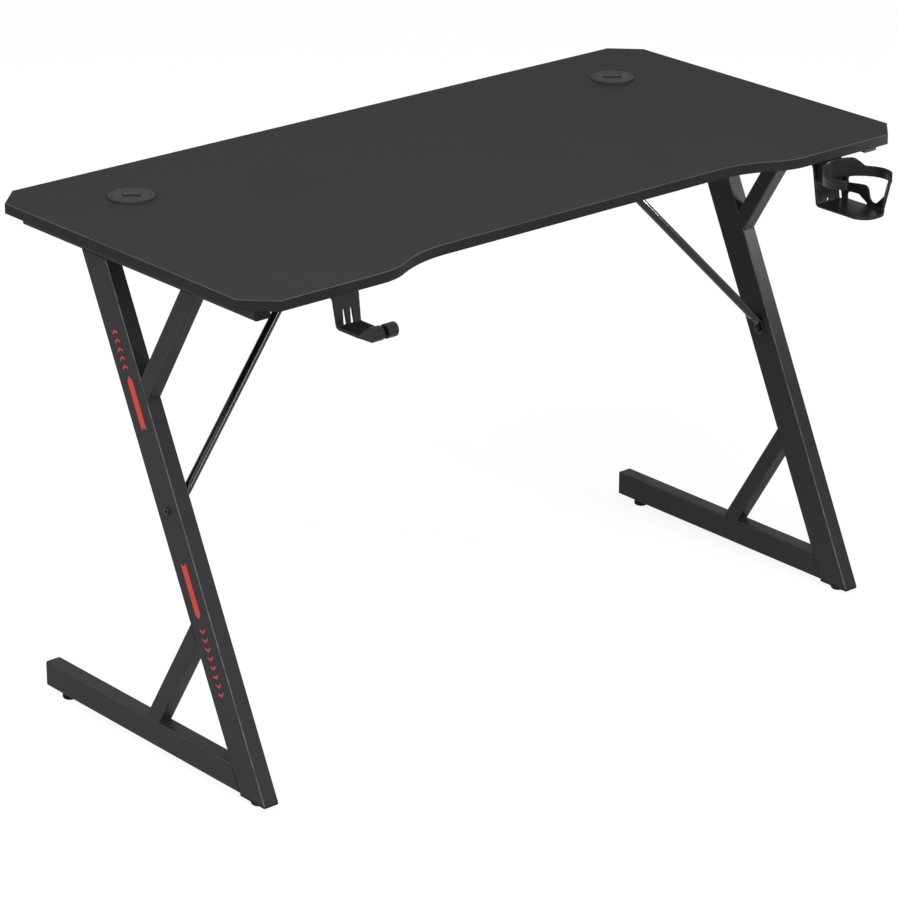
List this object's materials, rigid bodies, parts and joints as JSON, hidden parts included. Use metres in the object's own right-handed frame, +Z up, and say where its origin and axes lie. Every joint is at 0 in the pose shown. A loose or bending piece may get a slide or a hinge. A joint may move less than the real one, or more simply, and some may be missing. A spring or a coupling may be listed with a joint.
{
  "type": "gaming desk",
  "caption": "Gaming desk with a recessed front edge on two Z-shaped tube frames with stays, with cable grommets, a headphone hook and a cup holder.",
  "frame": {"origin": "on the floor, under the middle of the bounding box", "axes": "+X to the sitter's right along the desk's width, +Y away from the sitter, +Z up"},
  "size_m": [1.2, 0.6922, 0.7432],
  "materials": {
    "laminate_board": "particle board with a matte dark grey laminate, fine grain",
    "edge_band": "matte edge band",
    "frame_coat": "fine powder coat, satin",
    "stay_coat": "gloss black coat",
    "cap_plastic": "moulded, satin",
    "pad_nylon": "moulded nylon",
    "grommet_plastic": "moulded, fine texture",
    "accessory_plastic": "moulded, satin",
    "black_steel": "black oxide",
    "zinc_steel": "zinc plated"
  },
  "bodies": {
    "desk": {"tabletop_board": "laminate_board", "tabletop_edge_band": "edge_band", "foot_nuts": "zinc_steel", "stay_leg_bolts": "black_steel", "stay_leg_nuts": "black_steel", "stay_top_bolts": "black_steel", "board_inserts": "zinc_steel", "beam_bolts": "black_steel", "headphone_hook": "accessory_plastic", "hook_screws": "black_steel", "cup_holder": "accessory_plastic", "cup_holder_screws": "black_steel", "left_top_beam": "frame_coat", "left_slanted_leg": "frame_coat", "left_upper_brace": "frame_coat", "left_lower_brace": "frame_coat", "left_foot_beam": "frame_coat", "left_top_beam_rear_cap": "cap_plastic", "left_top_beam_front_cap": "cap_plastic", "left_foot_rear_cap": "cap_plastic", "left_leg_end_cap": "cap_plastic", "left_stay": "stay_coat", "left_grommet_liner": "grommet_plastic", "right_top_beam": "frame_coat", "right_slanted_leg": "frame_coat", "right_upper_brace": "frame_coat", "right_lower_brace": "frame_coat", "right_foot_beam": "frame_coat", "right_top_beam_rear_cap": "cap_plastic", "right_top_beam_front_cap": "cap_plastic", "right_foot_rear_cap": "cap_plastic", "right_leg_end_cap": "cap_plastic", "right_stay": "stay_coat", "right_grommet_liner": "grommet_plastic"},
    "left_front_foot_pad": {"left_front_foot_pad": "pad_nylon"},
    "left_front_foot_stud": {"left_front_foot_stud": "zinc_steel"},
    "left_rear_foot_pad": {"left_rear_foot_pad": "pad_nylon"},
    "left_rear_foot_stud": {"left_rear_foot_stud": "zinc_steel"},
    "right_front_foot_pad": {"right_front_foot_pad": "pad_nylon"},
    "right_front_foot_stud": {"right_front_foot_stud": "zinc_steel"},
    "right_rear_foot_pad": {"right_rear_foot_pad": "pad_nylon"},
    "right_rear_foot_stud": {"right_rear_foot_stud": "zinc_steel"},
    "left_grommet_lid": {"left_grommet_lid": "grommet_plastic"},
    "left_grommet_flap": {"left_grommet_flap": "grommet_plastic"},
    "right_grommet_lid": {"right_grommet_lid": "grommet_plastic"},
    "right_grommet_flap": {"right_grommet_flap": "grommet_plastic"}
  },
  "joints": [
    {"name": "left_front_foot_lift", "type": "slide", "parent": "desk", "child": "left_front_foot_pad", "axis": [0, 0, -1], "range_m": [0, 0.01]},
    {"name": "left_front_stud_turn", "type": "hinge", "parent": "left_front_foot_pad", "child": "left_front_foot_stud", "pos_m": [-0.5615, -0.19091, 0], "axis": [0, 0, -1], "range_deg": [0, 2880]},
    {"name": "left_rear_foot_lift", "type": "slide", "parent": "desk", "child": "left_rear_foot_pad", "axis": [0, 0, -1], "range_m": [0, 0.01]},
    {"name": "left_rear_stud_turn", "type": "hinge", "parent": "left_rear_foot_pad", "child": "left_rear_foot_stud", "pos_m": [-0.5615, 0.24909, 0], "axis": [0, 0, -1], "range_deg": [0, 2880]},
    {"name": "right_front_foot_lift", "type": "slide", "parent": "desk", "child": "right_front_foot_pad", "axis": [0, 0, -1], "range_m": [0, 0.01]},
    {"name": "right_front_stud_turn", "type": "hinge", "parent": "right_front_foot_pad", "child": "right_front_foot_stud", "pos_m": [0.5615, -0.19091, 0], "axis": [0, 0, -1], "range_deg": [0, 2880]},
    {"name": "right_rear_foot_lift", "type": "slide", "parent": "desk", "child": "right_rear_foot_pad", "axis": [0, 0, -1], "range_m": [0, 0.01]},
    {"name": "right_rear_stud_turn", "type": "hinge", "parent": "right_rear_foot_pad", "child": "right_rear_foot_stud", "pos_m": [0.5615, 0.24909, 0], "axis": [0, 0, -1], "range_deg": [0, 2880]},
    {"name": "left_grommet_lid_turn", "type": "hinge", "parent": "desk", "child": "left_grommet_lid", "pos_m": [-0.451, 0.21609, 0.739], "axis": [0, 0, 1], "continuous": true},
    {"name": "left_grommet_flap_swing", "type": "hinge", "parent": "left_grommet_lid", "child": "left_grommet_flap", "pos_m": [-0.44102, 0.22859, 0.7409], "axis": [-0.7815, 0.6239, 0], "range_deg": [0, 80]},
    {"name": "right_grommet_lid_turn", "type": "hinge", "parent": "desk", "child": "right_grommet_lid", "pos_m": [0.451, 0.21609, 0.739], "axis": [0, 0, 1], "continuous": true},
    {"name": "right_grommet_flap_swing", "type": "hinge", "parent": "right_grommet_lid", "child": "right_grommet_flap", "pos_m": [0.46098, 0.22859, 0.7409], "axis": [-0.7815, 0.6239, 0], "range_deg": [0, 80]}
  ],
  "couplings": [
    {"joint": "left_front_foot_lift", "follows": "left_front_stud_turn", "m_per_rad": 0.00019894},
    {"joint": "left_rear_foot_lift", "follows": "left_rear_stud_turn", "m_per_rad": 0.00019894},
    {"joint": "right_front_foot_lift", "follows": "right_front_stud_turn", "m_per_rad": 0.00019894},
    {"joint": "right_rear_foot_lift", "follows": "right_rear_stud_turn", "m_per_rad": 0.00019894}
  ]
}
